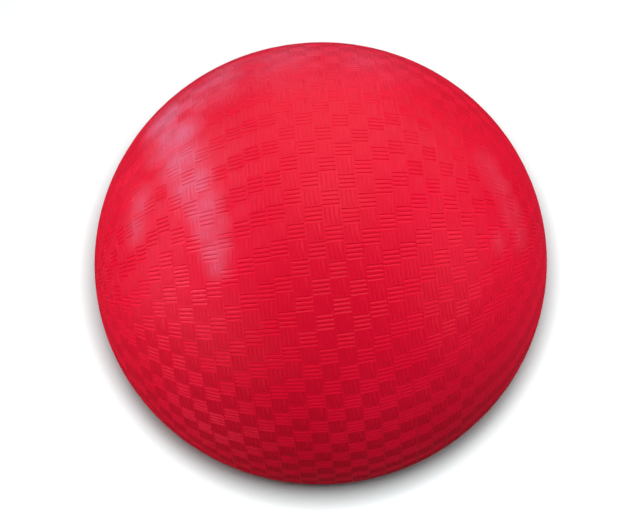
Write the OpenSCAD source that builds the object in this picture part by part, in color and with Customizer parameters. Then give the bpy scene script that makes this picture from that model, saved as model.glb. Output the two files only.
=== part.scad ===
// Inflated rubber dodgeball, cut from the outside in: a moulded cover, a wound
// thread layer, a bladder, a patch behind the valve, the valve's rubber housing
// and the soft core that the inflation needle goes through. The ball is spun
// about X, with the valve at the +X pole and the origin at the ball's centre.

/* [Ball] */
// Diameter round the middle, over the crests of the weave
equator_d = 214.4; // [150:0.2:270]
// Length from pole to pole, a little more than the diameter
pole_d = 219.4; // [150:0.2:275]

/* [Layers] */
// Thickness of the cover, from the crests of the weave to its inner face
cover_wall = 1.9; // [1.4:0.1:3]
// Thickness of the wound thread
winding_wall = 0.5; // [0.3:0.1:1.2]
// Thickness of the bladder
bladder_wall = 0.7; // [0.4:0.1:1.5]
// Cement between one layer and the next
cement = 0.1; // [0.05:0.05:0.3]

/* [Smooth ends] */
// Diameter of the smooth cap that ends the weave at each pole
cap_d = 47; // [30:1:70]
// Width of the half-round line pressed round each cap
cap_line_w = 1; // [0.4:0.1:1.6]
// Diameter of the low collar round the valve
collar_d = 15; // [13:0.5:24]
// Height of that collar above the dish it stands in
collar_rise = 0.4; // [0.1:0.1:0.8]

/* [Valve housing] */
// Outside of the neck that passes through the layers
neck_d = 10.5; // [9.5:0.1:12]
// How far the end of the neck lies below the pole
neck_sink = 0.3; // [0.1:0.1:0.8]
// Outside of the boss that reaches into the ball
boss_d = 12; // [11:0.1:16]
// How far the boss reaches below the pole
boss_reach = 15; // [13.5:0.1:19]
// Outside of the flange that is bonded to the patch
flange_d = 30; // [22:0.5:40]
// Thickness of the flange beside the boss
flange_wall = 1.2; // [0.6:0.1:2]
// Outside of the patch between the bladder and the flange
patch_d = 46; // [34:0.5:60]
// Thickness of the patch
patch_wall = 0.8; // [0.4:0.1:1.5]

/* [Valve core] */
// Head that closes the neck
head_d = 6.6; // [6:0.1:7]
// Thickness of the head
head_wall = 1; // [0.6:0.1:1.5]
// How far the head lies below the end of the neck
head_sink = 0.3; // [0:0.1:0.8]
// Stem below the head
stem_d = 4.8; // [4:0.1:5.4]
// Length of the stem
stem_len = 7; // [5:0.1:8]
// Bulb that holds the core behind the step in the housing
bulb_d = 7; // [6.2:0.1:7.6]
// Length of the bulb's straight part
bulb_len = 2; // [1:0.1:2.4]
// Length of the cone that eases the bulb in
lead_len = 2.2; // [1.5:0.1:2.5]
// Tail below the bulb
tail_d = 4.4; // [3.6:0.1:4.8]
// Length of the tail
tail_len = 4.5; // [3.5:0.1:5]
// Length of the flattened lips at the end of the tail
lips_len = 3.6; // [2:0.1:4]
// Thickness across the two lips at their tip
lips_tip = 1.2; // [0.8:0.1:2]

/* [Needle passage] */
// Diameter of the passage that grips the needle
needle_d = 1.9; // [1.6:0.1:2.4]
// Depth of the passage below the head, down to the slit
passage_len = 13; // [10:0.1:13.5]
// Diameter of the funnel at the mouth of the passage
funnel_d = 3.2; // [2.6:0.1:4]
// Depth of that funnel
funnel_len = 0.8; // [0.3:0.1:1.5]
// Width of the slit between the lips
slit_w = 2.6; // [1.6:0.1:3.2]
// Opening of the slit when nothing presses on it
slit_gap = 0.12; // [0.08:0.02:0.3]

/* [Hidden] */

// Clearance between the core and the housing, all round
fit = 0.05;
// How far a cut runs past the face that it opens
overrun = 2;
// Steps in a full turn on the ball and on the small turned parts
ball_steps = 180;
small_steps = 48;

equator_r = equator_d / 2;
pole_r = pole_d / 2;
hole_r = neck_d / 2 + cement;

// Depth of each layer's outer face below the crests of the weave
winding_top = cover_wall + cement;
bladder_top = winding_top + winding_wall + cement;
patch_top = bladder_top + bladder_wall + cement;
flange_top = patch_top + patch_wall + cement;

// Heights along the axis, measured from the ball's centre to the valve
neck_end = pole_r - neck_sink;
boss_end = pole_r - boss_reach;
flange_under = pole_r - flange_top - flange_wall;
head_top = neck_end - head_sink;
stem_top = head_top - head_wall;
bulb_top = stem_top - stem_len;
lead_top = bulb_top - bulb_len;
tail_top = lead_top - lead_len;
core_tip = tail_top - tail_len;
passage_end = head_top - passage_len;

// Distance of the ball's face from the equator plane at a distance from the axis
function face_at(from_axis, depth) =
    (pole_r - depth) * sqrt(1 - pow(from_axis / (equator_r - depth), 2));

// Turns an outline about the line from pole to pole
module spun(steps)
    rotate([0, 90, 0]) rotate_extrude($fn = steps) children();

// Outline of the ball, sunk below the crests by a depth
module oval(depth)
    scale([equator_r - depth, pole_r - depth]) circle(r = 1, $fn = ball_steps);

// Half of a layer as it shows where the ball is cut from pole to pole
module layer(top, wall)
    intersection() {
        difference() {
            oval(top);
            oval(top + wall);
        }
        translate([0, -pole_r]) square([equator_r, pole_d]);
    }

// The way of the valve's neck through a layer
module neck_way()
    square([hole_r, pole_r + overrun]);

// Part of a layer round the valve, out to a rim that is bevelled by its own thickness
module disc_layer(top, wall, outside_d)
    intersection() {
        layer(top, wall);
        polygon([
            [0, 0],
            [outside_d / 2 - wall, 0],
            [outside_d / 2 - wall, face_at(outside_d / 2 - wall, top + wall)],
            [outside_d / 2, face_at(outside_d / 2, top)],
            [outside_d / 2, pole_r],
            [0, pole_r]
        ]);
    }

// The line pressed round a cap, drawn at the valve's pole
module cap_line()
    translate([cap_d / 2, face_at(cap_d / 2, 0)]) circle(d = cap_line_w, $fn = small_steps);

// The shallow dish round the valve, with the low collar left standing in its middle
module valve_dish()
    difference() {
        translate([collar_d / 2, face_at(collar_d / 2, 0) + collar_rise])
            circle(r = 2 * collar_rise, $fn = small_steps);
        square([collar_d / 2, pole_r]);
    }

// The moulded skin, drawn at the crests of its weave
module cover()
    color("#D81E34")
        spun(ball_steps) difference() {
            layer(0, cover_wall);
            neck_way();
            cap_line();
            mirror([0, 1]) cap_line();
            valve_dish();
        }

// Nylon thread, wound in every direction over the bladder and cemented
module winding()
    color("#D9D2BE")
        spun(ball_steps) difference() {
            layer(winding_top, winding_wall);
            neck_way();
        }

// The inflated bladder that holds the air
module bladder()
    color("#2B2B2E")
        spun(ball_steps) difference() {
            layer(bladder_top, bladder_wall);
            neck_way();
        }

// Rubber disc that carries the valve's flange on the bladder
module valve_patch()
    color("#4A4A4E")
        spun(ball_steps) difference() {
            disc_layer(patch_top, patch_wall, patch_d);
            neck_way();
        }

// The hollow that the core snaps into, opened past both ends of the housing
module core_seat()
    polygon([
        [0, neck_end + overrun],
        [head_d / 2 + fit, neck_end + overrun],
        [head_d / 2 + fit, stem_top - fit],
        [stem_d / 2 + fit, stem_top - fit],
        [stem_d / 2 + fit, bulb_top + fit],
        [bulb_d / 2 + fit, bulb_top + fit],
        [bulb_d / 2 + fit, lead_top - fit],
        [tail_d / 2 + fit, tail_top - fit],
        [tail_d / 2 + fit, boss_end - overrun],
        [0, boss_end - overrun]
    ]);

// Outside of the neck and the boss, with a small cone where the boss leaves the flange
module neck_and_boss()
    polygon([
        [0, neck_end],
        [neck_d / 2, neck_end],
        [neck_d / 2, flange_under],
        [boss_d / 2 + flange_wall, flange_under],
        [boss_d / 2, flange_under - flange_wall],
        [boss_d / 2, boss_end + flange_wall],
        [boss_d / 2 - flange_wall, boss_end],
        [0, boss_end]
    ]);

// Neck, flange and boss in one moulding, bonded to the patch
module valve_housing()
    color("#1F1F22")
        difference() {
            union() {
                spun(ball_steps) disc_layer(flange_top, flange_wall, flange_d);
                spun(small_steps) neck_and_boss();
            }
            spun(small_steps) core_seat();
        }

// Outside of the core from its head to its tail
module core_outline()
    polygon([
        [0, head_top],
        [head_d / 2 - fit, head_top],
        [head_d / 2, head_top - fit],
        [head_d / 2, stem_top],
        [stem_d / 2, stem_top],
        [stem_d / 2, bulb_top],
        [bulb_d / 2, bulb_top],
        [bulb_d / 2, lead_top],
        [tail_d / 2, tail_top],
        [tail_d / 2, core_tip],
        [0, core_tip]
    ]);

// Funnel and straight passage for the needle
module needle_way()
    polygon([
        [0, head_top + funnel_len],
        [funnel_d - needle_d / 2, head_top + funnel_len],
        [needle_d / 2, head_top - funnel_len],
        [needle_d / 2, passage_end],
        [0, passage_end - needle_d / 2]
    ]);

// What is cut away to flatten one side of the tail into a lip
module lip_cut()
    translate([0, tail_d, 0]) rotate([90, 0, 0])
        linear_extrude(height = 2 * tail_d)
            polygon([
                [core_tip - overrun, lips_tip / 2],
                [core_tip, lips_tip / 2],
                [core_tip + lips_len, tail_d / 2],
                [core_tip + lips_len, tail_d],
                [core_tip - overrun, tail_d]
            ]);

// The soft plug, with its needle passage and the slit that the air pressure shuts
module valve_core()
    color("#3A1A1C")
        difference() {
            spun(small_steps) difference() {
                core_outline();
                needle_way();
            }
            lip_cut();
            mirror([0, 0, 1]) lip_cut();
            translate([core_tip - overrun, -slit_w / 2, -slit_gap / 2])
                cube([passage_end - core_tip + overrun, slit_w, slit_gap]);
        }

cover();
winding();
bladder();
valve_patch();
valve_housing();
valve_core();
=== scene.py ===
# %% [markdown]
# # A red rubber dodgeball
#
# The ball lies on a white table and is seen almost from above. It is 216 mm across and
# made of six pieces, one inside the other: the moulded cover, a layer of wound thread,
# the bladder, and a valve made of a patch, a housing and a soft core. The frame holds
# these six as plain solids. This lesson dresses them: it moulds the basket weave into
# the cover as real geometry and gives every piece its finish. Only the cover shows in the
# picture, and the pieces inside are made as such balls usually have them.
#
# The first cell loads the frame and keeps the box that it fills.

# %% Load the frame
import math

import bpy
from mathutils import Matrix, Vector, noise


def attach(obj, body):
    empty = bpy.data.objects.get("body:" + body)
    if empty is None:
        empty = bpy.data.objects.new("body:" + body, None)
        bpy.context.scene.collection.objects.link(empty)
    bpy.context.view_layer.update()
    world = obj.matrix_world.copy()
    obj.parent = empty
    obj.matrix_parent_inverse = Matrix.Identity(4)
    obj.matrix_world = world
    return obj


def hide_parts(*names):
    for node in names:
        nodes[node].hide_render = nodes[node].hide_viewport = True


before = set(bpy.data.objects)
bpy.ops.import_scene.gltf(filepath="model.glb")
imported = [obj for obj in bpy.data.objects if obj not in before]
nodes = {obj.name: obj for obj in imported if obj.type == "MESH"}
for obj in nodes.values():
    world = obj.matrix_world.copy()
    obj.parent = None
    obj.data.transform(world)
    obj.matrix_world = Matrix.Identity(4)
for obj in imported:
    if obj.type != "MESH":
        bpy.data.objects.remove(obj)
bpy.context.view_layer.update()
scene = bpy.context.scene
print("nodes in the frame:", ", ".join(sorted(nodes)))

# %% [markdown]
# ## The sizes that the ball goes by
#
# Every size below is in metres. The ball's long axis is X, from pole to pole of its
# weave, and the valve is at the +X end. The ball is a little longer that way than round
# its middle. Its outside could be read from the frame's boxes, but its wall and its hole
# don't show there, so all four are written as the solids have them.

# %% Sizes of the ball
EQUATOR_R = 0.1072
POLE_R = 0.1097
COVER_WALL = 0.0019
HOLE_R = 0.00535
MM = 0.001
print("the ball is %.1f mm long and %.1f mm thick" % (2 * POLE_R / MM, 2 * EQUATOR_R / MM))

# %% [markdown]
# ## The camera
#
# The camera comes first, because the weave is turned so that its first line of longitude
# faces it. The shadow in such a picture hugs the lower edge of the ball and hardly shows
# above it, which is what a ball under a lamp looks like from almost straight above. So
# the camera looks down at 80 degrees. The picture is rolled a little, because the ball's
# axis climbs 6.3 degrees to the right in it. The ball could be turned instead, but it
# has to stay where the frame puts it, so the camera turns round it.

# %% Camera
VIEW_ELEVATION = 80.0
AXIS_LEAN = 0.45
AXIS_CLIMB = 6.3
CAMERA_DISTANCE = 0.8631
PICTURE_WIDTH = 636
PICTURE_HEIGHT = 520
# how far the frame is shifted so that the ball lies where it does in the picture
SHIFT_PIXELS = (-2.7, 3.3)


def turned(degrees):
    """Cosine and sine of an angle in degrees."""
    return math.cos(math.radians(degrees)), math.sin(math.radians(degrees))


view_cos, view_sin = turned(VIEW_ELEVATION)
lean_cos, lean_sin = turned(AXIS_LEAN)
climb_cos, climb_sin = turned(AXIS_CLIMB)
to_camera = Vector((lean_sin, -lean_cos * view_cos, lean_cos * view_sin))
axis_seen = (Vector((1, 0, 0)) - to_camera * lean_sin).normalized()
above_axis = to_camera.cross(axis_seen)
picture_right = axis_seen * climb_cos - above_axis * climb_sin
picture_up = axis_seen * climb_sin + above_axis * climb_cos


def in_picture(right, up, towards):
    """A direction in the world from one given as the camera sees it."""
    return (picture_right * right + picture_up * up + to_camera * towards).normalized()


def aimed(thing, place, top=picture_up):
    """Puts a camera or a lamp at a place and points it at the middle of the ball."""
    back = place.normalized()
    right = top.cross(back).normalized()
    up = back.cross(right)
    turn = Matrix((right, up, back)).transposed().to_4x4()
    thing.matrix_world = Matrix.Translation(place) @ turn


camera_data = bpy.data.cameras.new("camera")
camera_data.lens = 100
camera_data.sensor_width = 36
camera_data.shift_x = SHIFT_PIXELS[0] / PICTURE_WIDTH
camera_data.shift_y = SHIFT_PIXELS[1] / PICTURE_WIDTH
camera = bpy.data.objects.new("camera", camera_data)
scene.collection.objects.link(camera)
aimed(camera, to_camera * CAMERA_DISTANCE)
scene.camera = camera
scene.view_settings.view_transform = "Standard"
print("camera at", [round(v, 3) for v in camera.location])

# %% [markdown]
# ## Floor
#
# The floor shows white to the camera and still takes the ball's shadow. To the light
# that bounces off it, it is a dull grey, so the ball's underside stays dark, and the
# matt rubber mirrors it only faintly. Light Path tells the shader which kind of ray
# asks. More light could whiten the floor as well, but it would bleach the ball. Only the
# middle of the floor needs to take light and shadow. Further out, where the lamp over it
# fades, the floor is plain white by itself.

# %% Floor
bpy.ops.object.select_all(action="DESELECT")
bpy.ops.mesh.primitive_plane_add(size=8, location=(0, 0, -EQUATOR_R))
floor = bpy.context.object
floor.name = "floor"
bpy.ops.object.transform_apply(location=True)

# how far from the ball's middle the lit floor ends, and where it is all plain white
FLOOR_MIDDLE = (0.21, 0.36)
# levels for a ray that only lights, for one that mirrors, and for one that is seen
FLOOR_LEVELS = (0.07, 0.05, 1.0)
# a trace cool, because the red ball throws its colour on the floor
FLOOR_TINT = (0.95, 1.0, 1.0)


def level_by_ray(tree, levels):
    """A level that depends on the ray: lighting, mirrored, or seen by the camera."""
    path = tree.nodes.new("ShaderNodeLightPath")
    lighting, mirrored, seen = levels
    total = None
    for ray, level in (
        ("Is Glossy Ray", mirrored - lighting),
        ("Is Transmission Ray", seen - lighting),
        ("Is Camera Ray", seen - lighting),
    ):
        plus = tree.nodes.new("ShaderNodeMath")
        plus.operation = "MULTIPLY_ADD"
        tree.links.new(path.outputs[ray], plus.inputs[0])
        plus.inputs[1].default_value = level
        if total:
            tree.links.new(total, plus.inputs[2])
        else:
            plus.inputs[2].default_value = lighting
        total = plus.outputs[0]
    return total


def empty_material(name):
    """A new material with nothing in it but its output."""
    material = bpy.data.materials.new(name)
    material.use_nodes = True
    material.node_tree.nodes.clear()
    output = material.node_tree.nodes.new("ShaderNodeOutputMaterial")
    return material, material.node_tree, output


floor_material, tree, output = empty_material("white_table")
diffuse = tree.nodes.new("ShaderNodeBsdfDiffuse")
tint = tree.nodes.new("ShaderNodeVectorMath")
tint.operation = "SCALE"
tint.inputs[0].default_value = FLOOR_TINT
tree.links.new(level_by_ray(tree, FLOOR_LEVELS), tint.inputs["Scale"])
tree.links.new(tint.outputs[0], diffuse.inputs["Color"])
plain_white = tree.nodes.new("ShaderNodeEmission")
tree.links.new(level_by_ray(tree, FLOOR_LEVELS), plain_white.inputs["Strength"])
place = tree.nodes.new("ShaderNodeTexCoord")
how_far = tree.nodes.new("ShaderNodeVectorMath")
how_far.operation = "LENGTH"
tree.links.new(place.outputs["Object"], how_far.inputs[0])
fade = tree.nodes.new("ShaderNodeMapRange")
fade.inputs["From Min"].default_value = FLOOR_MIDDLE[0]
fade.inputs["From Max"].default_value = FLOOR_MIDDLE[1]
tree.links.new(how_far.outputs["Value"], fade.inputs["Value"])
lit_or_plain = tree.nodes.new("ShaderNodeMixShader")
tree.links.new(fade.outputs[0], lit_or_plain.inputs["Fac"])
tree.links.new(diffuse.outputs[0], lit_or_plain.inputs[1])
tree.links.new(plain_white.outputs[0], lit_or_plain.inputs[2])
tree.links.new(lit_or_plain.outputs[0], output.inputs["Surface"])
floor.data.materials.append(floor_material)
print("the floor lies at %.4f m" % floor.data.vertices[0].co.z)

# %% [markdown]
# ## World
#
# The world is what a ray meets beyond the floor. It goes by the same rule, white where it
# is seen and dim where it lights, so that the lamps alone shape the ball. One dim grey
# would light the ball in the same way, but it would show grey behind the floor.

# %% World
WORLD_LEVELS = (0.06, 0.05, 1.0)
world = bpy.data.worlds.new("studio")
world.use_nodes = True
scene.world = world
tree = world.node_tree
tree.nodes.clear()
output = tree.nodes.new("ShaderNodeOutputWorld")
background = tree.nodes.new("ShaderNodeBackground")
background.inputs["Color"].default_value = (1, 1, 1, 1)
tree.links.new(level_by_ray(tree, WORLD_LEVELS), background.inputs["Strength"])
tree.links.new(background.outputs[0], output.inputs["Surface"])
print("the world lights at", WORLD_LEVELS[0], "and shows at", WORLD_LEVELS[2])

# %% [markdown]
# ## Lamps
#
# The lamps are soft boxes, each given by the direction that it shines from as the camera
# sees it, and by how bright it makes a white surface that faces it. A small one hangs
# overhead, close beside the camera. It alone lights the floor, which keeps the ball's
# shadow as short as it is in the picture. The key stands towards the top of the picture,
# and boxes round the sides keep the rim bright everywhere but below. Two more show only
# in the gloss: a tall cool window on the left, and a broad pale wall beyond the top.
#
# The boxes could be given in watts, but a brightness for a white surface makes them
# easier to weigh. On the part of the ball that faces the camera they add up to about 1,
# so the red renders there about as it is written.

# %% Lamps
LAMPS = {
    # name: (right, up, towards the camera) in metres, width, height, brightness
    "table_lamp": ((0.00, 0.055, 0.80), 0.12, 0.12, 1.50),
    "key": ((0.00, 0.71, 1.09), 0.60, 0.50, 0.40),
    "front": ((0.00, 0.06, 1.20), 0.30, 0.30, 0.20),
    "right_box": ((0.87, 0.00, 0.50), 0.50, 0.60, 0.37),
    "upper_right_box": ((0.70, 0.70, 0.17), 0.32, 0.60, 0.34),
    "upper_left_box": ((-0.75, 0.63, 0.17), 0.32, 0.60, 0.34),
    "left_box": ((-0.98, 0.00, 0.17), 0.32, 0.60, 0.32),
    "lower_left_box": ((-0.71, -0.50, 0.50), 0.50, 0.60, 0.27),
    "window": ((-0.462, 0.278, 0.184), 0.08, 0.50, 0.50),
    "pale_wall": ((0.06, 1.01, 0.50), 1.00, 2.00, 0.85),
}
FLOOR_LAMP = "table_lamp"
GLOSS_ONLY = ("window", "pale_wall")
WINDOW_COLOUR = (0.42, 0.60, 1.0)
# the way that the window's long side runs, as the camera sees it
WINDOW_TOP = (0.035, -0.56, 0.825)


def with_floor(name, state):
    """A collection that holds the floor, to link lamps to it or to leave it out."""
    linked = bpy.data.collections.new(name)
    linked.objects.link(floor)
    linked.collection_objects[0].light_linking.link_state = state
    return linked


floor_only = with_floor("floor_only", "INCLUDE")
not_the_floor = with_floor("not_the_floor", "EXCLUDE")
for name, (place, wide, high, bright) in LAMPS.items():
    lamp_data = bpy.data.lights.new(name, "AREA")
    lamp_data.shape = "RECTANGLE"
    lamp_data.size = wide
    lamp_data.size_y = high
    # in watts, so that a white surface facing the lamp at this distance is so bright
    lamp_data.energy = math.pi**2 * Vector(place).length_squared * bright
    lamp = bpy.data.objects.new(name, lamp_data)
    lamp.visible_camera = False
    lamp.visible_glossy = name in GLOSS_ONLY
    lamp.visible_diffuse = name not in GLOSS_ONLY
    lights_floor = name == FLOOR_LAMP
    lamp.light_linking.receiver_collection = floor_only if lights_floor else not_the_floor
    scene.collection.objects.link(lamp)
    top = in_picture(*WINDOW_TOP) if name == "window" else picture_up
    aimed(lamp, in_picture(*place) * Vector(place).length, top=top)
bpy.data.lights["window"].color = WINDOW_COLOUR
print("lamps:", ", ".join(LAMPS))

# %% [markdown]
# ## The weave, as it is laid out
#
# The cover's grip is a moulded basket weave. It runs in rings round the ball, and each
# ring is a row of cells: one with its grooves along the axis, then one with its grooves
# round the ball, and so on. Every cell has four grooves, about 2 mm apart, and nothing
# frames it: the smooth face simply goes on between the cells. A ring nearer a pole is
# shorter and so has fewer pairs of cells, and the rings don't line up, as if the mould
# had been cut ring by ring.
#
# One formula could lay out all the rings, but the real ones start anywhere. So a short
# list gives where each of them starts, as a share of a pair. Two rings left of the middle
# are odd ones, where the mould maker seems to have had to make ends meet: one has a cell
# that is twice as long, the other one with six grooves.

# %% Layout of the rings
# so many rings would fit from pole to pole, and as many pairs of cells round the middle
RINGS_TO_POLES = 43
RING_PITCH = 180 / RINGS_TO_POLES
LAST_RING = 18
START_SHARES = (
    0.30, 0.70, 0.15, 0.60, 0.24, 0.58, 0.41, 0.15, 0.78, 0.42, 0.03, 0.55, 0.39,
    0.10, 0.84, 0.62, 0.46, 0.07, 0.63, 0.22, 0.77, 0.41, 0.06, 0.90, 0.59, 0.20,
    0.70, 0.24, 0.90, 0.68, 0.37, 0.88, 0.43, 0.10, 0.65, 0.30, 0.80,
)
GROOVES = 4
WAYS = ("along", "round")
ODD_RINGS = {
    # ring: where its first cell starts and how wide its usual cells are, in degrees, and
    # the width and the number of grooves of each of its last cells
    -7: (2.93, 4.80, [(9.54, GROOVES)]),
    -8: (7.82, 4.965, [(5.47, GROOVES), (6.70, 6), (5.27, GROOVES)]),
}


def ring_cells(ring):
    """The cells of one ring: start, end, which way its grooves run, and how many."""
    pairs = round(RINGS_TO_POLES * math.cos(math.radians(ring * RING_PITCH)))
    width = 180 / pairs
    start = START_SHARES[ring + LAST_RING] * 360 / pairs - width / 2
    return [
        (start + n * width, start + (n + 1) * width, WAYS[n % 2], GROOVES)
        for n in range(2 * pairs)
    ]


def odd_ring(first, usual, last_cells):
    """A ring of equal cells, but for the few last ones, which have their own widths."""
    room = 360 - sum(width for width, _ in last_cells)
    regular = round(room / usual)
    cells, start = [], first
    for n, (width, count) in enumerate([(room / regular, GROOVES)] * regular + last_cells):
        cells.append((start, start + width, WAYS[n % 2], count))
        start += width
    return cells


rings = {ring: ring_cells(ring) for ring in range(-LAST_RING, LAST_RING + 1)}
for ring, layout in ODD_RINGS.items():
    rings[ring] = odd_ring(*layout)
print("cells:", sum(len(cells) for cells in rings.values()))

# %% [markdown]
# ## Points on the ball
#
# A place on the cover is given by its latitude, counted from the middle towards the
# valve, its longitude, which is 0 where the ball faces the camera, and how deep it lies
# below the smooth face. Years of play have rubbed the relief down in places, so
# the grooves get shallower there: in a broad band along the upper rim of the picture, in
# smaller spots round the ball, and a little everywhere by slow noise. Painted shade is
# given the same way: the finely grooved cells are painted darker towards the lower edge
# of the picture, and less so along its top. Both could be painted by hand, but short
# lists say where they are and can be changed later.

# %% Places on the cover
GROOVE_DEPTH = 0.48 * MM
# the most that slow noise takes off the depth, and its blotches to a radius of the ball
SLOW_WEAR = 0.18
SLOW_WEAR_SCALE = 2.6
WORN_SPOTS = (
    # latitude, longitude, reach in degrees, how much of the depth is rubbed away
    (40, 37, 27, 0.78),
    (60, 0, 24, 0.25),
    (-45, -72, 34, 0.70),
    (0, -72, 30, 0.65),
    (2, -38, 27, 0.45),
    (42, -68, 32, 0.60),
    (-52, 30, 18, 0.40),
    (20, 170, 30, 0.45),
    (-40, -120, 28, 0.40),
)
# painted shade: spots where the finely grooved cells are painted darker, towards the lower
# edge of the picture, and lighter at its top
PAINTED_SHADE_SPOTS = (
    # latitude, longitude, reach in degrees, how much more or less painted shade
    (-38, 48, 25, 2.1),
    (0, 57, 31, 2.1),
    (34, 57, 22, 1.0),
    (0, -55, 38, -0.7),
)


def way_out(lat, lon):
    """The direction of a latitude and longitude on a plain sphere."""
    lat_cos, lat_sin = turned(lat)
    lon_cos, lon_sin = turned(VIEW_ELEVATION - lon)
    return Vector((lat_sin, -lat_cos * lon_cos, lat_cos * lon_sin))


def on_cover(lat, lon, drop, equator=EQUATOR_R, pole=POLE_R):
    """A point at a depth below the ball's face."""
    way = way_out(lat, lon)
    place = Vector((way.x * pole, way.y * equator, way.z * equator))
    out = Vector((way.x / pole, way.y / equator, way.z / equator)).normalized()
    return place - out * drop


def spread(spots, way):
    """The shares of a list of spots that reach a direction."""
    for lat, lon, reach, share in spots:
        far = math.degrees(way.angle(way_out(lat, lon))) / reach
        yield share * math.exp(-far * far * far)


def depth_left(lat, lon):
    """The share of the grooves' depth that wear has left at a place."""
    way = way_out(lat, lon)
    left = 1 - SLOW_WEAR * (0.5 + 0.5 * noise.noise(way * SLOW_WEAR_SCALE))
    return left * math.prod(1 - share for share in spread(WORN_SPOTS, way))


def painted_shade_at(lat, lon):
    """How much painted shade the finely grooved cells get at a place; 1 is the usual."""
    return max(0.0, 1 + sum(spread(PAINTED_SHADE_SPOTS, way_out(lat, lon))))


print("a groove in the middle is %.2f mm deep" % (GROOVE_DEPTH * depth_left(0, 0) / MM))

# %% [markdown]
# ## The cover's mesh
#
# Displacing a round sphere would need far more faces than the piece may have, because
# the grooves are only 1 mm wide. So this one piece is built point by point, with its
# edges laid along the grooves: a few points across each one draw its two shoulders and
# its bottom. The points and faces are gathered in lists, and one helper stitches two
# rows of points into a strip of triangles, even if the rows have different numbers of
# points.

# %% Lists and strips
points = []
painted_shade_levels = []
faces = []
# the points at the bottoms of grooves
sunk = set()


def add_point(place, painted_shade=0.0):
    """Adds a point of the cover and says how much painted shade it gets there, from 0 to 1.
    """
    points.append(place)
    painted_shade_levels.append(painted_shade)
    return len(points) - 1


def stitch(lower, upper):
    """Fills between two rows of (share of the way, point), both from left to right."""
    a = b = 0
    while a < len(lower) - 1 or b < len(upper) - 1:
        if b == len(upper) - 1 or (
            a < len(lower) - 1 and lower[a + 1][0] <= upper[b + 1][0]
        ):
            faces.append((lower[a][1], lower[a + 1][1], upper[b][1]))
            a += 1
        else:
            faces.append((lower[a][1], upper[b + 1][1], upper[b][1]))
            b += 1


print("the lists are empty and the helpers ready")

# %% [markdown]
# Two rings share the line between them. It gets a point wherever a cell of either ring
# has a corner, and more between them where they are far apart, so that both rings hang
# on the same points and the skin stays closed. The first and the last line are the ones
# pressed round the two caps.

# %% Lines between the rings
# in degrees: corners nearer than this share a point, and no gap gets wider than that
NEAR = 0.15
WIDEST_GAP = 3.5
CAP_LINE_DEPTH = 0.5 * MM
# painted shade in the line pressed round each cap
CAP_LINE_SHADE = 1.0


def ring_line(number):
    """The points on the line below a ring, and which of them each corner uses."""
    lat = (number - LAST_RING - 0.5) * RING_PITCH
    corners = sorted(
        {
            round(cell[0] % 360, 4)
            for ring in (number - LAST_RING - 1, number - LAST_RING)
            if ring in rings
            for cell in rings[ring]
        }
    )
    groups = [[corners[0]]]
    for corner in corners[1:]:
        if corner - groups[-1][-1] < NEAR:
            groups[-1].append(corner)
        else:
            groups.append([corner])
    if groups[0][0] + 360 - groups[-1][-1] < NEAR:
        groups[0] = groups.pop() + groups[0]
    at_end = number in (0, 2 * LAST_RING + 1)
    drop, painted_shade = (CAP_LINE_DEPTH, CAP_LINE_SHADE) if at_end else (0.0, 0.0)
    row, used = [], {}
    for n, group in enumerate(groups):
        lon = group[len(group) // 2]
        following = groups[(n + 1) % len(groups)]
        gap = (following[len(following) // 2] - lon) % 360
        parts = max(1, math.ceil(gap / WIDEST_GAP))
        for part in range(parts):
            here = lon + gap * part / parts
            if part == 0:
                used.update({corner: len(row) for corner in group})
            row.append((here, add_point(on_cover(lat, here, drop), painted_shade)))
    return row, used


lines = [ring_line(number) for number in range(2 * LAST_RING + 2)]
print("points on the lines:", len(points))

# %% [markdown]
# A cell is a grid of points inside a frame of four sides. Its lines follow the grooves,
# which stop a little short of the frame and run out there, as they do in the mould.
# Grooves along the axis are wide and deep, with one steep side and one gentle one, so
# each shows as a dark line beside a light one. Those round the ball are fine and
# shallow. A bump could draw the grooves on a plain cell, but its mesh would stay smooth.
# Long cells near the poles get extra points so that they bend round.

# %% Grooves of a cell
GROOVE_SHAPES = {
    # which way: half of the width as a share of the pitch, and the points across, each
    # with its place as a share of that half, its share of the depth, and its painted shade
    "along": (
        0.28,
        ((-1.0, 0.0, 0.0), (-0.42, 1.0, 0.9), (-0.15, 0.90, 0.2), (1.0, 0.0, 0.0)),
    ),
    "round": (0.20, ((-1.0, 0.0, 0.29), (0.0, 0.24, 0.50), (1.0, 0.0, 0.29))),
}
# how far from its cell's edge a groove ends, and how much further in its bottom does,
# as shares of the cell
GROOVE_END = 0.035
GROOVE_RUNOUT = 0.05
# the most degrees between two points of a groove that runs round the ball
BEND_STEP = 7.0


def groove_grid(start, end, way, count):
    """Shares across and along a cell's grooves, with the depth and painted shade at each
    point.
    """
    half, shape = GROOVE_SHAPES[way]
    steps = 1 if way == "along" else max(1, math.ceil((end - start) / BEND_STEP))
    across = [
        ((n + 0.5 + half * u) / count, deep, painted_shade)
        for n in range(count)
        for u, deep, painted_shade in shape
    ]
    grid = []
    for step in range(steps + 1):
        share = GROOVE_END + (1 - 2 * GROOVE_END) * step / steps
        inset = GROOVE_RUNOUT * (1 if step == 0 else -1 if step == steps else 0)
        grid.append(
            [(u, share + (inset if deep else 0), deep, painted_shade) for u, deep, painted_shade in across]
        )
    return grid


for way, (_, shape) in GROOVE_SHAPES.items():
    print(way, "grooves have", len(shape), "points across")

# %% [markdown]
# Each cell is filled in three steps: its grid of points, sunk as far as wear has left
# them, the faces of the grid, and a strip along each of its four sides that hangs it on
# the shared lines and on the borders between it and its neighbours. Copies of one cell
# would be simpler, but they differ a little in size from ring to ring, and each is worn
# in its own way.

# %% Cells
# how fully the grooves of each kind follow the wear
WEAR_FELT = {"along": 1.0, "round": 0.35}
# the most painted shade that a point gets
MOST_PAINTED_SHADE = 0.95


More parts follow.
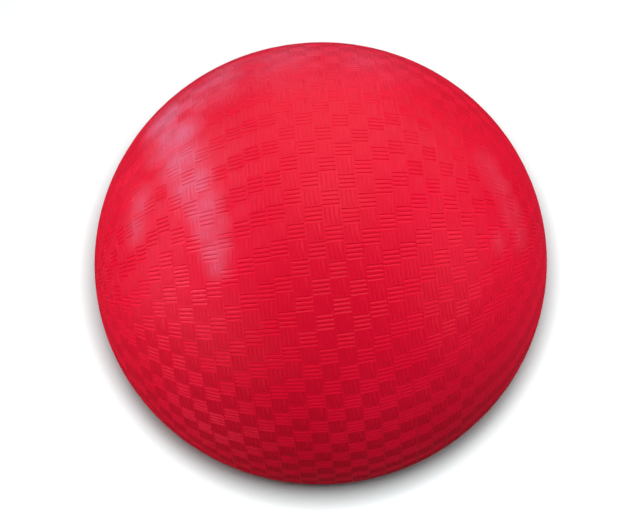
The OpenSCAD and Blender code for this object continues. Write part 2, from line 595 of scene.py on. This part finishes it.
def line_part(number, start, end):
    """The points of a line between two corners, with their share of the way."""
    row, used = lines[number]
    first, last = used[round(start % 360, 4)], used[round(end % 360, 4)]
    part, n = [(0.0, row[first][1])], first
    while n != last:
        n = (n + 1) % len(row)
        share = ((row[n][0] - start) % 360) / (end - start)
        part.append((1.0 if n == last else share, row[n][1]))
    return part


def groove_point(lat, lon, way, deep, painted_shade):
    """Adds a point of a cell, as deep as wear has left it, and with its painted shade."""
    left = depth_left(lat, lon) ** WEAR_FELT[way]
    held = left if way == "along" else painted_shade_at(lat, lon)
    place = on_cover(lat, lon, deep * GROOVE_DEPTH * left)
    point = add_point(place, min(MOST_PAINTED_SHADE, painted_shade * held))
    if deep:
        sunk.add(point)
    return point


def cell(ring, start, end, way, count, left, right):
    """Fills one cell between its two lines and its two side borders."""
    low = (ring - 0.5) * RING_PITCH
    grid = groove_grid(start, end, way, count)
    if way == "round":
        grid = [[(v, u, deep, painted_shade) for u, v, deep, painted_shade in column] for column in zip(*grid)]
    rows = []
    for line in grid:
        row = []
        for u, v, deep, painted_shade in line:
            lat, lon = low + v * RING_PITCH, start + u * (end - start)
            row.append((u, v, groove_point(lat, lon, way, deep, painted_shade)))
        rows.append(row)
    for below, above in zip(rows, rows[1:]):
        for n in range(len(below) - 1):
            faces.append((below[n][2], below[n + 1][2], above[n + 1][2], above[n][2]))
    number = ring + LAST_RING
    bottom, top = line_part(number, start, end), line_part(number + 1, start, end)
    stitch(bottom, [(u, point) for u, _, point in rows[0]])
    stitch([(u, point) for u, _, point in rows[-1]], top)
    left_side = [(0, bottom[0][1]), *left, (1, top[0][1])]
    right_side = [(0, bottom[-1][1]), *right, (1, top[-1][1])]
    stitch([(row[0][1], row[0][2]) for row in rows], left_side)
    stitch(right_side, [(row[-1][1], row[-1][2]) for row in rows])


def border(ring, lon):
    """The two points on the border between two cells of a ring."""
    pair = []
    for share in (GROOVE_END, 1 - GROOVE_END):
        lat = (ring - 0.5 + share) * RING_PITCH
        pair.append((share, add_point(on_cover(lat, lon, 0))))
    return pair


for ring, cells in rings.items():
    borders = [border(ring, start) for start, _, _, _ in cells]
    for n, layout in enumerate(cells):
        cell(ring, *layout, borders[n], borders[(n + 1) % len(cells)])
print("points in the weave:", len(points), "faces:", len(faces))

# %% [markdown]
# ## The caps
#
# The weave ends in a smooth cap at each pole, with a line pressed round it. At the valve
# the cap has a low collar in a shallow dish. A cap could be a separate disc, but it is
# moulded with the cover, so it hangs on the same points: circles of them, given by how
# far they are from the axis and how deep they lie, are stitched one to the next.

# %% Caps
CAP_CIRCLES = (
    # millimetres from the axis, millimetres deep, points
    (22.86, 0.07, 110),
    (22.3, 0.0, 96),
    (18.5, 0.0, 80),
    (14.5, 0.0, 64),
    (11.0, 0.0, 64),
)
BACK_CIRCLES = CAP_CIRCLES + ((7.0, 0.0, 40), (3.5, 0.0, 20))
VALVE_CIRCLES = CAP_CIRCLES + (
    (9.0, 0.0, 64),
    (8.35, 0.01, 64),
    (8.12, 0.10, 64),
    (7.9, 0.28, 64),
    (7.66, 0.38, 64),
    (7.5, 0.40, 64),
    (7.44, 0.20, 64),
    (7.32, 0.05, 64),
    (7.1, 0.0, 64),
    (6.3, 0.0, 64),
    (5.65, 0.0, 64),
    (5.44, 0.06, 64),
    (5.35, 0.20, 64),
)


def circle(side, from_axis, deep, count):
    """A closed row of points round a pole; side is 1 at the valve and -1 at the back."""
    lat = side * math.degrees(math.acos(from_axis * MM / EQUATOR_R))
    row = []
    for n in range(count):
        row.append((n / count, add_point(on_cover(lat, 360 * n / count, deep * MM))))
    return row + [(1.0, row[0][1])]


def closed_line(number):
    """A line between the rings as a closed row, from longitude 0 round to 360."""
    row = sorted((lon % 360 / 360, point) for lon, point in lines[number][0])
    return [(-1.0 + row[-1][0], row[-1][1]), *row]


line = closed_line(2 * LAST_RING + 1)
for from_axis, deep, count in VALVE_CIRCLES:
    following = circle(1, from_axis, deep, count)
    stitch(line, following)
    line = following
hole_edge = line

line = closed_line(0)
for from_axis, deep, count in BACK_CIRCLES:
    following = circle(-1, from_axis, deep, count)
    stitch(following, line)
    line = following
stitch([(0.0, add_point(on_cover(-90, 0, 0)))], line)
print("points with the caps:", len(points))

# %% [markdown]
# ## The inside
#
# At the collar the skin turns in, down the wall of the hole, and back round the inside
# of the ball. Solidify could give the thickness, but the grooves would then show inside
# as well, where it should be smooth for the thread. So the inner face is its own plain
# rows of points, and the cover is one closed skin of rubber with the real thickness.

# %% Inner face and the wall of the hole
INNER_ROUND = 96
INNER_ROWS = 48
INNER_SIZE = (EQUATOR_R - COVER_WALL, POLE_R - COVER_WALL)
hole_lat = math.degrees(math.acos(HOLE_R / INNER_SIZE[0]))


def inner_row(lat):
    """A closed row of points on the inside of the cover."""
    row = []
    for n in range(INNER_ROUND):
        place = on_cover(lat, 360 * n / INNER_ROUND, 0, *INNER_SIZE)
        row.append((n / INNER_ROUND, add_point(place)))
    return row + [(1.0, row[0][1])]


line = inner_row(hole_lat)
stitch(hole_edge, line)
for n in range(1, INNER_ROWS):
    following = inner_row(hole_lat - (hole_lat + 90) * n / INNER_ROWS)
    stitch(line, following)
    line = following
stitch(line, [(1.0, add_point(on_cover(-90, 0, 0, *INNER_SIZE)))])
print("points in all:", len(points))

# %% [markdown]
# ## The cover as an object
#
# The lists become a mesh, which is turned right side out if its volume comes out
# negative. The ball shades smoothly, but each wall of a groove is a flat face with crisp
# edges, as the mould leaves it: smoothed walls would blur the fine relief. An attribute
# takes the painted shade of each point along for the finish. The new skin replaces the plain
# one.

# %% Cover
# the most degrees between two faces that still shade as one
SHARPEST_BEND = 35
ML_PER_M3 = 1e6

mesh = bpy.data.meshes.new("cover_skin")
mesh.from_pydata(points, [], faces)
mesh.validate()
# the painted shade of each point, darker in the grooves, for the finish
mesh.attributes.new("painted_shade", "FLOAT", "POINT").data.foreach_set("value", painted_shade_levels)
cover = bpy.data.objects.new("cover_skin", mesh)
scene.collection.objects.link(cover)
mesh.calc_loop_triangles()
volume = sum(
    mesh.vertices[t.vertices[0]].co.dot(
        mesh.vertices[t.vertices[1]].co.cross(mesh.vertices[t.vertices[2]].co)
    )
    for t in mesh.loop_triangles
) / 6
if volume < 0:
    mesh.flip_normals()
bpy.ops.object.select_all(action="DESELECT")
cover.select_set(True)
bpy.context.view_layer.objects.active = cover
bpy.ops.object.shade_smooth_by_angle(angle=math.radians(SHARPEST_BEND))
for face in mesh.polygons:
    if not sunk.isdisjoint(face.vertices):
        face.use_smooth = False
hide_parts("cover")
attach(cover, "root")
triangles = len(mesh.loop_triangles)
print("cover: %d triangles, %.0f ml of rubber" % (triangles, abs(volume) * ML_PER_M3))

# %% [markdown]
# ## Finishes
#
# Each finish starts from the same plain shader, and small helpers add the nodes that
# they all need: noise at a given scale, a ramp between two values and a bump. The nodes
# could be added one by one for each piece, but the helpers keep each finish short enough
# to read as a recipe.

# %% Helpers for finishes
class Finish:
    """A material with the shader, the object's own coordinates and a few helpers."""

    def __init__(self, name, specular):
        self.material, self.tree, output = empty_material(name)
        self.shader = self.add("ShaderNodeBsdfPrincipled")
        self.give("Specular IOR Level", specular)
        self.join(self.shader.outputs[0], output.inputs["Surface"])
        self.place = self.add("ShaderNodeTexCoord").outputs["Object"]

    def add(self, kind, **settings):
        """A new node with its settings."""
        node = self.tree.nodes.new(kind)
        for key, value in settings.items():
            setattr(node, key, value)
        return node

    def join(self, source, target):
        """Links an output to an input."""
        self.tree.links.new(source, target)

    def feed(self, socket, value):
        """Sets an input, or links it if the value is another node's output."""
        if isinstance(value, bpy.types.NodeSocket):
            self.join(value, socket)
        else:
            socket.default_value = value

    def give(self, name, value):
        """Feeds one of the shader's own inputs."""
        self.feed(self.shader.inputs[name], value)

    def noise(self, scale, detail=2.0, roughness=0.5, place=None):
        """Cloudy noise from 0 to 1; its blotches are about 1 / scale metres across."""
        node = self.add("ShaderNodeTexNoise")
        self.join(place or self.place, node.inputs["Vector"])
        node.inputs["Scale"].default_value = scale
        node.inputs["Detail"].default_value = detail
        node.inputs["Roughness"].default_value = roughness
        return node.outputs["Fac"]

    def span(self, value, low, high, to_low=0.0, to_high=1.0):
        """Maps one range of values to another, softly, and stops at its ends."""
        node = self.add("ShaderNodeMapRange", interpolation_type="SMOOTHSTEP")
        self.join(value, node.inputs["Value"])
        for socket, number in zip(
            ("From Min", "From Max", "To Min", "To Max"), (low, high, to_low, to_high)
        ):
            node.inputs[socket].default_value = number
        return node.outputs[0]

    def near(self, middle, reach):
        """1 at a place on the piece, falling to 0 at its reach, both in metres."""
        node = self.add("ShaderNodeVectorMath", operation="DISTANCE")
        self.join(self.place, node.inputs[0])
        node.inputs[1].default_value = middle
        return self.span(node.outputs["Value"], 0.0, reach, 1.0, 0.0)

    def calc(self, kind, a, b=0.0):
        """Arithmetic on one or two values."""
        node = self.add("ShaderNodeMath", operation=kind)
        self.feed(node.inputs[0], a)
        self.feed(node.inputs[1], b)
        return node.outputs[0]

    def mix_values(self, share, a, b):
        """Mixes two values."""
        node = self.add("ShaderNodeMix", data_type="FLOAT")
        for socket, value in zip(node.inputs[:1] + node.inputs[2:4], (share, a, b)):
            self.feed(socket, value)
        return node.outputs[0]

    def blend(self, share, a, b):
        """Mixes two colours."""
        node = self.add("ShaderNodeMix", data_type="RGBA")
        for socket, value in zip(node.inputs[:1] + node.inputs[6:8], (share, a, b)):
            self.feed(socket, value)
        return node.outputs[2]

    def bump(self, height, distance, under=None):
        """Bends the light by a height; distance is the height of a value of 1."""
        node = self.add("ShaderNodeBump")
        node.inputs["Strength"].default_value = 1.0
        node.inputs["Distance"].default_value = distance
        self.join(height, node.inputs["Height"])
        if under:
            self.join(under, node.inputs["Normal"])
        return node.outputs[0]


def dress(name, finish):
    """Gives a finish to a piece of the frame."""
    slots = nodes[name].material_slots
    for slot in slots:
        slot.material = finish.material
    print(name, "has", len(finish.tree.nodes), "shader nodes in", len(slots), "slot")


print("helpers ready")

# %% [markdown]
# ### Red rubber
#
# The rubber is coloured all through and shines only faintly. Its grooves and its finely
# grooved cells are painted a darker red, as painted shade, and are rougher there. The
# pink sheen is painted too: pale pink patches, cloudy, most of all in a long streak left
# of the middle, stand in for the sheen and highlights of the lamps. The painted sheen
# could be one big noise, but its places can be seen. So each patch is a soft spot with
# its own reach and strength, and noise only breaks them up. A spot is given by the pixel
# where it shows, and a ray from the camera finds its place on the ball. Three bumps of
# different size give the skin of the mould, its orange peel and the uneven wall.

# %% Cover rubber
# painted sheen: pale pink spots where the sheen and highlights of the lamps are painted
PAINTED_SHEEN = (
    # pixels from the left and from the top, reach in millimetres, share of painted sheen
    ((215, 80), 36, 0.30),
    ((280, 56), 46, 0.20),
    ((362, 56), 40, 0.14),
    ((193, 96), 26, 0.42),
    ((167, 117), 24, 0.56),
    ((168, 139), 20, 0.54),
    ((179, 134), 18, 0.52),
    ((183, 162), 18, 0.50),
    ((192, 187), 16, 0.48),
    ((203, 206), 14, 0.44),
    ((209, 227), 13, 0.40),
    ((215, 249), 12, 0.34),
    ((217, 265), 10, 0.26),
    ((140, 205), 14, 0.22),
    ((135, 228), 13, 0.24),
    ((489, 166), 14, 0.12),
    ((500, 185), 14, 0.12),
    ((512, 214), 14, 0.14),
    ((520, 235), 12, 0.10),
    ((501, 242), 10, 0.08),
)
RUBBER_RED = (0.75, 0.003, 0.028, 1)
BRIGHTER_RED = (0.80, 0.005, 0.036, 1)
# the pale pink of the painted sheen
SHEEN_PINK = (0.68, 0.25, 0.40, 1)
# the dark red of the painted shade in the grooves and on the finely grooved cells
PAINTED_SHADE_RED = (0.42, 0.002, 0.012, 1)
# how far the places with the most painted shade turn dark red, and how much rougher they are
PAINTED_SHADE_SHOWS = 0.42
PAINTED_SHADE_DULLS = 0.2
# less than real rubber's, because a scuffed face mirrors less towards its rim
RUBBER_IOR = 1.27
RUBBER_BUMPS = (
    # scale, detail and height of the noise, from the finest to the coarsest
    (2600, 3.0, 0.01 * MM),
    (330, 3.0, 0.04 * MM),
    (55, 2.0, 0.60 * MM),
)


def seen_at(x, y):
    """The place on the smooth ball that shows at a pixel of the picture."""
    pixel = camera_data.sensor_width / camera_data.lens / PICTURE_WIDTH
    right = (x - PICTURE_WIDTH / 2 + SHIFT_PIXELS[0]) * pixel
    up = (PICTURE_HEIGHT / 2 - y + SHIFT_PIXELS[1]) * pixel
    # seen as a round ball of radius 1, which the ray meets at two distances
    ball = Matrix.Diagonal(Vector((POLE_R, EQUATOR_R, EQUATOR_R)))
    eye = ball.inverted() @ (to_camera * CAMERA_DISTANCE)
    ray = ball.inverted() @ (picture_right * right + picture_up * up - to_camera)
    ray.normalize()
    nearest = -eye.dot(ray)
    first = nearest - math.sqrt(nearest**2 - eye.length_squared + 1)
    return ball @ (eye + ray * first)


rubber = Finish("red_rubber", specular=0.50)
rubber.give("IOR", RUBBER_IOR)
# painted shade: the grooves and the finely grooved cells are painted darker red
painted_shade = rubber.add("ShaderNodeAttribute", attribute_name="painted_shade").outputs["Fac"]
patches = rubber.span(rubber.noise(14, 3.0), 0.35, 0.68)
colour = rubber.blend(patches, RUBBER_RED, BRIGHTER_RED)
# painted sheen and highlights, as pale pink spots broken up by cloudy noise
sheen = None
for pixels, reach, strength in PAINTED_SHEEN:
    spot = rubber.near(seen_at(*pixels), reach * MM)
    spot = rubber.calc("MULTIPLY", spot, strength)
    sheen = rubber.calc("MAXIMUM", sheen, spot) if sheen else spot
cloudy = rubber.span(rubber.noise(70, 4.0, 0.6), 0.30, 0.66, 0.35, 1.0)
sheen = rubber.calc("MULTIPLY", sheen, cloudy)
colour = rubber.blend(sheen, colour, SHEEN_PINK)
colour = rubber.blend(rubber.calc("MULTIPLY", painted_shade, PAINTED_SHADE_SHOWS), colour, PAINTED_SHADE_RED)
rubber.give("Base Color", colour)
rough = rubber.span(rubber.noise(60, 4.0), 0.3, 0.7, 0.31, 0.41)
rough = rubber.calc("ADD", rough, rubber.calc("MULTIPLY", painted_shade, PAINTED_SHADE_DULLS))
rubber.give("Roughness", rough)
bumps = None
for scale, detail, height in RUBBER_BUMPS:
    bumps = rubber.bump(rubber.noise(scale, detail), height, under=bumps)
rubber.give("Normal", bumps)
cover.data.materials.append(rubber.material)
print("cover has", len(rubber.tree.nodes), "shader nodes")

# %% [markdown]
# ### Wound thread
#
# The winding doesn't show while the ball is whole, but someone may cut it open. A
# machine turns the bladder this way and that while nylon thread runs on, until the
# strands cross in every direction, and then the whole is dipped in latex. Modelling
# hundreds of metres of thread would swamp the scene, so the strands are drawn in the
# material: for each of a few directions, rings that are evenly spaced on the ball stand
# for the flat bundles laid that way, and noise decides which direction lies on top.

# %% Winding finish
# from one flat bundle of strands to the next
STRAND_PITCH = 1.9 * MM
# how far noise bends the strands, in radians
STRAND_WOBBLE = 0.05
STRAND_WAYS = (
    (1.0, 0.0, 0.25), (0.1, 1.0, -0.2), (-0.2, 0.15, 1.0), (0.7, 0.7, 0.1),
    (-0.6, 0.5, 0.6), (0.5, -0.6, 0.65), (0.55, 0.6, -0.6),
)
# each way reads its noise further off, so that its bundles lie elsewhere
ASIDE = (0.31, 0.17, -0.23)
NYLON_SHADE = (0.70, 0.66, 0.55, 1)
NYLON_LIGHT = (0.84, 0.81, 0.72, 1)
LATEX_THIN = (0.15, 0.11, 0.06, 1)
LATEX_THICK = (0.36, 0.27, 0.14, 1)


def strands(finish, way, wobble):
    """Height of the strands that are laid one way: 1 on a strand, 0 between two."""
    outward = finish.add("ShaderNodeVectorMath", operation="NORMALIZE")
    finish.join(finish.place, outward.inputs[0])
    along = finish.add("ShaderNodeVectorMath", operation="DOT_PRODUCT")
    finish.join(outward.outputs[0], along.inputs[0])
    along.inputs[1].default_value = Vector(way).normalized()
    angle = finish.calc("ARCCOSINE", along.outputs["Value"])
    angle = finish.calc("ADD", angle, finish.calc("MULTIPLY", wobble, STRAND_WOBBLE))
    phase = finish.calc("MULTIPLY", angle, 2 * math.pi * EQUATOR_R / STRAND_PITCH)
    return finish.span(finish.calc("SINE", phase), -0.95, 0.1)


thread = Finish("nylon_thread", specular=0.40)
height = strands(thread, STRAND_WAYS[0], thread.noise(9, 1.0))
for n, way in enumerate(STRAND_WAYS[1:]):
    spot = thread.add("ShaderNodeVectorMath", operation="ADD")
    thread.join(thread.place, spot.inputs[0])
    spot.inputs[1].default_value = (ASIDE[0] * (n + 1), ASIDE[1] * n, ASIDE[2] * n)
    on_top = thread.span(thread.noise(38, 1.0, place=spot.outputs[0]), 0.50, 0.53)
    laid = strands(thread, way, thread.noise(9, 1.0, place=spot.outputs[0]))
    height = thread.mix_values(on_top, height, laid)
latex = thread.span(thread.noise(45, 4.0, 0.6), 0.40, 0.62)
nylon = thread.blend(thread.noise(260, 3.0), NYLON_SHADE, NYLON_LIGHT)
between = thread.blend(latex, LATEX_THIN, LATEX_THICK)
thread.give("Base Color", thread.blend(height, between, nylon))
thread.give("Roughness", thread.span(latex, 0.0, 1.0, 0.62, 0.34))
twist = thread.bump(thread.noise(2400, 2.0), 0.02 * MM)
thread.give("Normal", thread.bump(height, 0.35 * MM, under=twist))
dress("winding", thread)

# %% [markdown]
# ### Bladder
#
# The bladder is black butyl rubber, blown up from a small moulded bag. It was dusted with
# talc so that it wouldn't stick to itself, and the dust stays on it in cloudy patches.
# The mould has left a fine raised line where its halves met, from pole to pole. Its
# solid has the right shape, so it stays and only gets this finish, in which one value,
# the dust, drives both the colour and the roughness.

# %% Bladder finish
# half of the line's width, at its top and at its foot
PARTING_LINE = (0.25 * MM, 0.60 * MM)
BUTYL_BLACK = (0.022, 0.022, 0.025, 1)
BUTYL_GREY = (0.045, 0.044, 0.046, 1)
TALC = (0.42, 0.41, 0.39, 1)
TALC_SHOWS = 0.55

butyl = Finish("black_butyl", specular=0.45)
dust = butyl.span(butyl.noise(26, 5.0, 0.62), 0.44, 0.72)
specks = butyl.span(butyl.noise(900, 3.0), 0.55, 0.75)
dust = butyl.calc("MULTIPLY", dust, butyl.span(specks, 0.0, 1.0, 0.35, 1.0))
black = butyl.blend(butyl.noise(60, 2.0), BUTYL_BLACK, BUTYL_GREY)
butyl.give("Base Color", butyl.blend(butyl.calc("MULTIPLY", dust, TALC_SHOWS), black, TALC))
butyl.give("Roughness", butyl.span(dust, 0.0, 0.6, 0.38, 0.80))
apart = butyl.add("ShaderNodeSeparateXYZ")
butyl.join(butyl.place, apart.inputs[0])
off_line = butyl.calc("ABSOLUTE", apart.outputs["Z"])
ridge = butyl.span(off_line, *PARTING_LINE, 1.0, 0.0)
skin = butyl.bump(butyl.noise(500, 3.0), 0.02 * MM)
skin = butyl.bump(butyl.noise(70, 2.0), 0.25 * MM, under=skin)
butyl.give("Normal", butyl.bump(ridge, 0.15 * MM, under=skin))
dress("bladder", butyl)

# %% [markdown]
# ### Valve patch
#
# The patch is roughed with a turning brush so that the cement holds, which leaves fine
# rings of scratches round the valve. Scratches could be cut into a copy of the piece, but
# they are far finer than its faces, so they are rings in the material: the distance from
# the axis, bent a little by noise, runs through the same short ramp over and over.

# %% Patch finish
BRUSH_PITCH = 0.35 * MM
# how far noise bends the rings, in pitches
BRUSH_WANDER = 3.0
BUFFED_GREY = (0.085, 0.085, 0.087, 1)
SCRATCH_GREY = (0.21, 0.205, 0.20, 1)
BUFFED_ROUGHNESS = 0.78

patch = Finish("buffed_patch", specular=0.35)
patch.give("Roughness", BUFFED_ROUGHNESS)
apart = patch.add("ShaderNodeSeparateXYZ")
patch.join(patch.place, apart.inputs[0])
from_axis = patch.calc(
    "SQRT",
    patch.calc(
        "ADD",
        patch.calc("POWER", patch.calc("ABSOLUTE", apart.outputs["Y"]), 2.0),
        patch.calc("POWER", patch.calc("ABSOLUTE", apart.outputs["Z"]), 2.0),
    ),
)
wander = patch.calc("MULTIPLY", patch.noise(420, 3.0), BRUSH_WANDER)
brushed = patch.calc("ADD", patch.calc("MULTIPLY", from_axis, 1 / BRUSH_PITCH), wander)
scratch = patch.span(patch.calc("FRACT", brushed), 0.55, 1.0)
broken = patch.span(patch.noise(700, 3.0), 0.40, 0.60)
scratch = patch.calc("MULTIPLY", scratch, broken)
patch.give("Base Color", patch.blend(scratch, BUFFED_GREY, SCRATCH_GREY))
patch.give("Normal", patch.bump(scratch, 0.06 * MM))
dress("valve_patch", patch)

# %% [markdown]
# ### Valve housing
#
# The housing is stiff black rubber that comes out of its mould with a satin grain. Its
# solid has the right shape. A flat black would look like a hole, so the finish has
# cloudy shine and a fine bump, as the blasted steel of a mould leaves it.

# %% Housing finish
HOUSING_BLACK = (0.028, 0.028, 0.031, 1)
HOUSING_GREY = (0.050, 0.049, 0.052, 1)

satin = Finish("satin_housing", specular=0.45)
satin.give("Base Color", satin.blend(satin.noise(180, 4.0), HOUSING_BLACK, HOUSING_GREY))
satin.give("Roughness", satin.span(satin.noise(240, 3.0), 0.35, 0.65, 0.34, 0.52))
satin.give("Normal", satin.bump(satin.noise(3800, 2.0), 0.025 * MM))
dress("valve_housing", satin)

# %% [markdown]
# ### Valve core
#
# The core is softer rubber, wiped with oil so that the needle slides in: most of it
# gleams, and it dulls where the oil has dried. The oil could be a second skin, but it is
# only a film, so the shader's clear coat stands for it, and one value, how dry the place
# is, drives the colour and the roughness under it.

# %% Core finish
OILY_RED = (0.075, 0.022, 0.026, 1)
DRY_RED = (0.120, 0.050, 0.052, 1)
OIL_WEIGHT = 0.35
OIL_ROUGHNESS = 0.18

oily = Finish("oiled_core", specular=0.50)
dry = oily.span(oily.noise(330, 3.0), 0.45, 0.62)
oily.give("Base Color", oily.blend(dry, OILY_RED, DRY_RED))
oily.give("Roughness", oily.span(dry, 0.0, 1.0, 0.20, 0.55))
oily.give("Coat Weight", OIL_WEIGHT)
oily.give("Coat Roughness", OIL_ROUGHNESS)
oily.give("Normal", oily.bump(oily.noise(1500, 3.0), 0.02 * MM))
dress("valve_core", oily)
